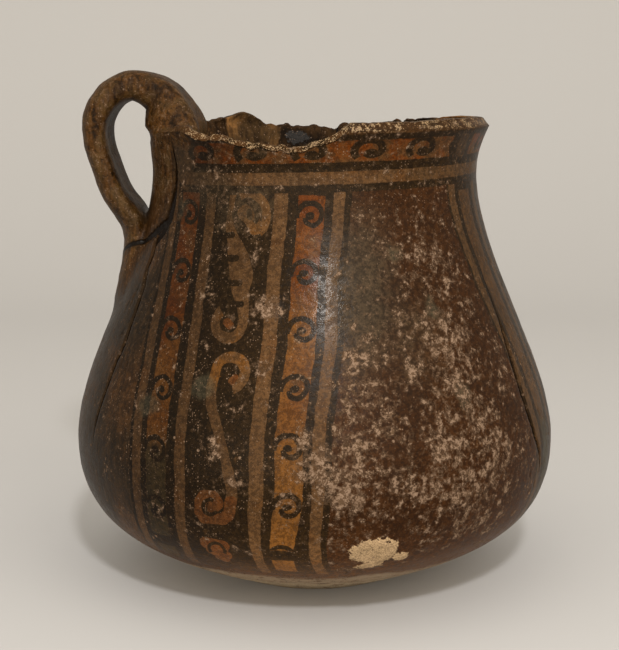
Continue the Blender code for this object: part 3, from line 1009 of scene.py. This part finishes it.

    # Wear and dirt over the paint, then painted shade and painted light over it all
    rubbed = worn_place * (1.0 - maroon_side * step(worn_place, 0, 0.1))
    worn = step(patchy + 0.55 * grain + 0.42 * rubbed, 0.64, 0.8)
    cover(0.7 * worn * (1.0 - maroon_side * 0.5), mixed(grainy, CLAY, BUFF))
    film = step(worn_place + 0.8 * uneven + 0.5 * grain, 0.35, 0.8)
    cover(0.55 * film, FILM)
    cover(0.55 * step(moss_place + 0.8 * uneven, 0.25, 0.6), MOSS_COLOUR)
    grit = step(grainy + 0.6 * (fine - 0.5), 0.34, 0.66)
    # Painted shade: the clay towards the handle, on both sides, is darkened as if the light fell off there.
    # Painted light: the low belly is lightened as if lit from the floor below.
    painted_shade_and_low_light = 0.52 + 0.48 * step(distance(turned, 100), 116, 90)
    painted_shade_and_low_light = painted_shade_and_low_light * (1.0 + 1.5 * step(z, 38, 12))
    colour = shaded(colour, (0.54 + 0.56 * grit) * (0.72 + 0.55 * broad) * painted_shade_and_low_light)

    # The low edge, the strap, the inside and the broken edges
    # The low edge is pale: partly pale dirt, partly painted light bounced up from the floor onto clay that
    # faces down.
    low_edge_dirt_and_bounce = step(z + 5.0 * drift + 2.4 * grain, 15, 12.8)
    foot = step(z + 3.0 * uneven, 9.6, 7)
    cover(low_edge_dirt_and_bounce, shaded(mixed(foot, LOW_DIRT_AND_BOUNCE_LIGHT, FOOT_DIRT_AND_BOUNCE_LIGHT), 0.6 + 0.8 * grainy))
    strap_colour = mixed(step(patchy, 0.38, 0.62), STRAP_CLAY, STRAP_DARK)
    strap_colour = mixed(0.6 * step(grainy + 0.5 * (fine - 0.5), 0.56, 0.68), strap_colour, CRUST_DULL)
    strap_colour = mixed(0.85 * step(grainy + 0.4 * uneven, 0.46, 0.34), strap_colour, DARK)
    strap_colour = shaded(strap_colour, 0.3 + 0.75 * step(patchy + 0.5 * drift, 0.36, 0.64)
                          + 0.7 * step(streaky, 0.36, 0.66))
    cover(strap, strap_colour)
    inner_colour = mixed(step(broad + 0.3 * uneven, 0.4, 0.62), INNER_CLAY, GREY)
    # Darker inside the back of the mouth, and a painted shadow in the narrow gap beside the strap's upper
    # root; lower down, darker patches at random
    inside_dark_and_painted_shadow = greater(step(distance(turned, 182) + 9.0 * uneven, 35.8, 34.6),
                    step(distance(turned, 244.5), 6, 4.6))
    deep_soot = 0.55 * step(broad + 0.4 * patchy, 0.5, 0.8)
    inside_dark_and_painted_shadow = blended(step(z + 16.0 * drift, 98, 116), deep_soot, inside_dark_and_painted_shadow)
    inner_shade = (0.1 + 0.7 * grainy + 1.1 * step(streaky, 0.3, 0.7)) * (1.0 - 0.88 * inside_dark_and_painted_shadow)
    cover(inside, shaded(inner_colour, inner_shade))
    flecks = step(fine + 0.75 * grain + 0.35 * uneven, 0.55, 0.64)
    break_colour = mixed(flecks, mixed(step(patchy, 0.42, 0.6), shaded(CLAY, 0.7), DARK), BREAK_CLAY)
    broken_face = broken_face * (1.0 - 0.8 * inside)
    cover(broken_face, mixed(step(y, 20, 36), break_colour, shaded(mixed(flecks, GREY, CLAY), 0.8)))
    bevel = step(level, 138.2, 139.2) * (1.0 - strap) * (1.0 - inside) * (1.0 - broken_face)
    cover(bevel * step(0.5 * (fine + grainy) + 0.4 * uneven, 0.54, 0.6), BREAK_CLAY)

    # Crust in lumps, pale plaster and small specks
    lumpy = 0.74 * noise(place, 2.8, 4, 0.66, 12, 0.2) + 0.26 * grainy
    outside = (1.0 - inside) * (1.0 - 0.6 * strap)
    bare = 1.0 - maroon_side * (1.0 - ground)
    spread = step(broad + 0.6 * uneven, 0.34, 0.6) * step(z, 122, 96)
    scatter = 0.1 * (1.0 - bare) + (0.22 - 0.14 * bare) * spread
    amount = lesser((0.4 + 0.22 * bare) * crust_place + scatter, 0.82) * outside
    lumpy = lumpy + 0.25 * amount
    crust = step(lumpy, 0.625, 0.665)
    haze = step(lumpy, 0.575, 0.615) * (0.18 + 0.6 * amount)
    plaster = step(plaster_place + 0.7 * uneven + 0.5 * grain, 0.46, 0.54)
    dots = greater(specks(place, 0.36, 0.19, 1), specks(place, 0.24, 0.24, 2),
                   specks(place, 0.75, 0.04, 3))
    dots = dots * (0.3 + 0.7 * step(patchy + 0.5 * drift, 0.4, 0.58))
    crust_colour = mixed(step(fine + 0.9 * grain, 0.4, 0.64), CRUST_DULL, CRUST_PALE)
    cover(haze, shaded(CRUST_DULL, 0.45 + 1.1 * grainy))
    cover(crust * (0.45 + 0.3 * step(lumpy, 0.66, 0.72) + 0.25 * step(patchy, 0.42, 0.58)), crust_colour)
    plaster_colour = mixed(inside, mixed(step(patchy, 0.4, 0.6), PLASTER_COLOUR, CHALK), INNER_SPOT)
    cover(plaster, shaded(plaster_colour, 0.35 + 0.75 * grainy + 0.45 * step(fine, 0.4, 0.6)))
    cover(dots * 0.8, crust_colour)

    # Cracks
    ragged = crack_side + 0.55 * (noise(place, 1.8, 3, 0.6, 15) - 0.5) + 0.25 * (fine - 0.5)
    off_crack = math_node("ABSOLUTE", ragged)
    crack = step(off_crack, crack_gap + 0.1, crack_gap * 0.55) * step(crack_gap, 0.03, 0.09)
    cover(0.5 * step(off_crack, crack_gap + 0.9, crack_gap) * step(crack_gap, 0.03, 0.2), DARK)
    cover(crack, SOOT)
    feed(shader.inputs["Base Color"], colour)

    roughness = 0.4 - 0.1 * worn_place * maroon_side + 0.12 * worn + 0.1 * strap
    roughness = roughness + 0.3 * grain + 0.2 * uneven
    gleam = step(distance(turned, 22) + 10.0 * uneven, 14, 5)
    gleam = gleam * step(distance(z, 96), 18, 6)
    roughness = roughness - (0.22 * step(grainy, 0.35, 0.6) - 0.04) * gleam
    roughness = blended(greater(inside, broken_face), roughness, 0.82)
    roughness = blended(greater(crust, plaster, dots), roughness, 0.88)
    feed(shader.inputs["Roughness"], lesser(greater(roughness, 0.17), 1))

    relief = 0.07 * grainy + 0.035 * fine + 0.05 * patchy
    relief = relief + crust * (0.1 + 0.2 * lumpy) + plaster * (0.16 + 0.16 * grainy) - 0.8 * crack
    bare_clay = greater(broken_face, 0.5 * inside, strap)
    relief = relief + bare_clay * (0.3 * grainy + 0.25 * patchy + 0.12 * fine)
    shader.inputs["Specular IOR Level"].default_value = CLAY_GLOSS
    bump = node("ShaderNodeBump", Strength=BUMP_STRENGTH, Distance=BUMP_DISTANCE, Height=relief)
    feed(shader.inputs["Normal"], Number(bump.outputs[0]))
    return material


# Studio: lengths in metres, powers in watts

LIGHT_AIM = (0, 0, 0.07)
WARM = (1, 0.92, 0.78)
WINDOW_WHITE = (1, 0.97, 0.93)
ROOM_COLOUR = (1, 0.91, 0.77, 1)
LIGHTS = (
    ("key_light", (0.6, -0.85, 0.7), (0.9, 0.9), 3.1, WARM),
    ("window_light", (0.08, -0.77, 0.65), (0.07, 0.07), 5, WINDOW_WHITE),
    ("overhead_light", (-0.05, -0.5, 1.15), (1.8, 1.4), 2.7, WARM),
    ("low_light", (-0.2, -1.3, 0.2), (2.4, 0.3), 7, WARM),
)
FLOOR_COLOUR = (0.475, 0.475, 0.485, 1)
FLOOR_ROUGHNESS = 0.9
FLOOR_DROP = 0.00005
FLOOR_FRONT = -3.0
FLOOR_HALF_WIDTH = 4.0
BEND_START = 0.5
BEND_RADIUS = 0.6
WALL_TOP = 2.6
SENSOR_WIDTH_MM = 36.0
FOCAL_LENGTH_PIXELS = 1440.1
FRAME_HEIGHT_PIXELS = 650.0
CAMERA_PLACE = (-0.00156, -0.45, 0.15185)
CAMERA_TILT_DOWN = 0.1642


def add_area_light(name, place, size, power, colour):
    light = bpy.data.lights.new(name, "AREA")
    light.shape = "RECTANGLE"
    light.size, light.size_y = size
    light.energy = power
    light.color = colour
    thing = add_object(name, light)
    thing.location = place
    direction = np.array(place) - np.array(LIGHT_AIM)
    flat = math.hypot(direction[0], direction[1])
    thing.rotation_euler = (math.atan2(flat, direction[2]), 0, math.atan2(direction[0], -direction[1]))


def sweep_floor():
    """A pale floor that curves up into a back wall."""
    profile = [(FLOOR_FRONT, 0), (BEND_START, 0)]
    for turn in np.linspace(0, 0.5 * math.pi, 24)[1:]:
        profile.append((BEND_START + BEND_RADIUS * math.sin(turn), BEND_RADIUS * (1.0 - math.cos(turn))))
    profile.append((BEND_START + BEND_RADIUS, WALL_TOP))
    points = [(side, y, z - FLOOR_DROP) for y, z in profile for side in (-FLOOR_HALF_WIDTH, FLOOR_HALF_WIDTH)]
    faces = [(2 * k, 2 * k + 1, 2 * k + 3, 2 * k + 2) for k in range(len(profile) - 1)]
    mesh = bpy.data.meshes.new("floor")
    mesh.from_pydata(points, [], faces)
    mesh.shade_smooth()
    pale = bpy.data.materials.new("floor_pale")
    pale.use_nodes = True
    pale.node_tree.nodes["Principled BSDF"].inputs["Base Color"].default_value = FLOOR_COLOUR
    pale.node_tree.nodes["Principled BSDF"].inputs["Roughness"].default_value = FLOOR_ROUGHNESS
    mesh.materials.append(pale)
    return add_object("floor", mesh)


jug = add_object("jug_clay", jug_mesh())
describe_surface(jug.data)
jug.data.shade_smooth()
jug.data.materials.clear()
jug.data.materials.append(painted_clay())
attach(jug, "root")
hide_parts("jug")
sweep_floor()

camera = bpy.data.cameras.new("camera")
camera.lens = SENSOR_WIDTH_MM * FOCAL_LENGTH_PIXELS / FRAME_HEIGHT_PIXELS
camera.sensor_width = SENSOR_WIDTH_MM
viewer = add_object("camera", camera)
viewer.location = CAMERA_PLACE
viewer.rotation_euler = (0.5 * math.pi - CAMERA_TILT_DOWN, 0, 0)
bpy.context.scene.camera = viewer

for light in LIGHTS:
    add_area_light(*light)
world = bpy.data.worlds.new("soft_room")
world.use_nodes = True
world.node_tree.nodes["Background"].inputs["Color"].default_value = ROOM_COLOUR
world.node_tree.nodes["Background"].inputs["Strength"].default_value = 1.0
bpy.context.scene.world = world
bpy.context.scene.view_settings.view_transform = "Standard"
